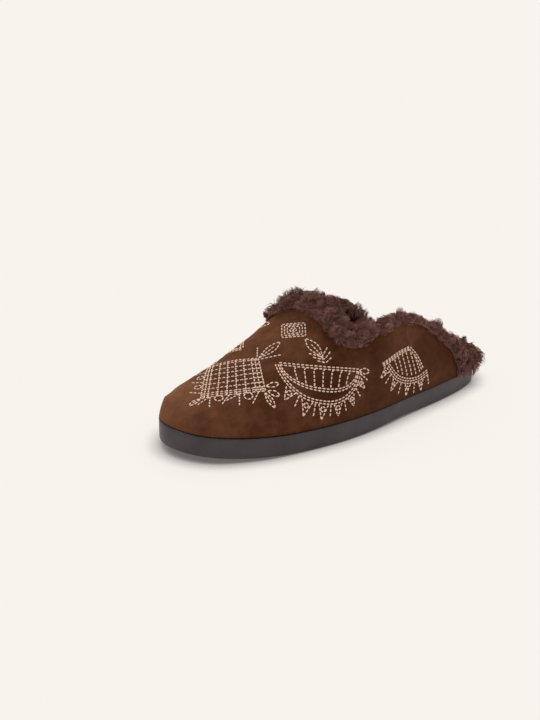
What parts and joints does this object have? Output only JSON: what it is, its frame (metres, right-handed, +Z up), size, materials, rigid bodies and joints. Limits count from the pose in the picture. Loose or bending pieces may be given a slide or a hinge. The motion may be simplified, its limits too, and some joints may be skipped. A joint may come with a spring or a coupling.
{
  "type": "mule",
  "caption": "Left open-backed mule with a rounded suede upper, pale embroidery, a wavy shearling collar, a fur footbed and a flat unit sole, worn as a slip-on shoe.",
  "frame": {"origin": "middle of the heel's flat rest on the floor", "axes": "+Z up from the floor, -Y toward the toe, +X toward the outer side of the left foot"},
  "size_m": [0.0976, 0.2696, 0.0908],
  "materials": {
    "dark_rubber": "smooth satin",
    "brown_suede": "napped suede with pale embroidery",
    "dark_shearling": "curly shearling pile",
    "shearling_footbed": "short pile"
  },
  "bodies": {
    "root": {"outsole": "dark_rubber", "insole": "shearling_footbed", "upper": "brown_suede", "fur_collar": "dark_shearling", "heel_fur": "dark_shearling"}
  },
  "joints": []
}
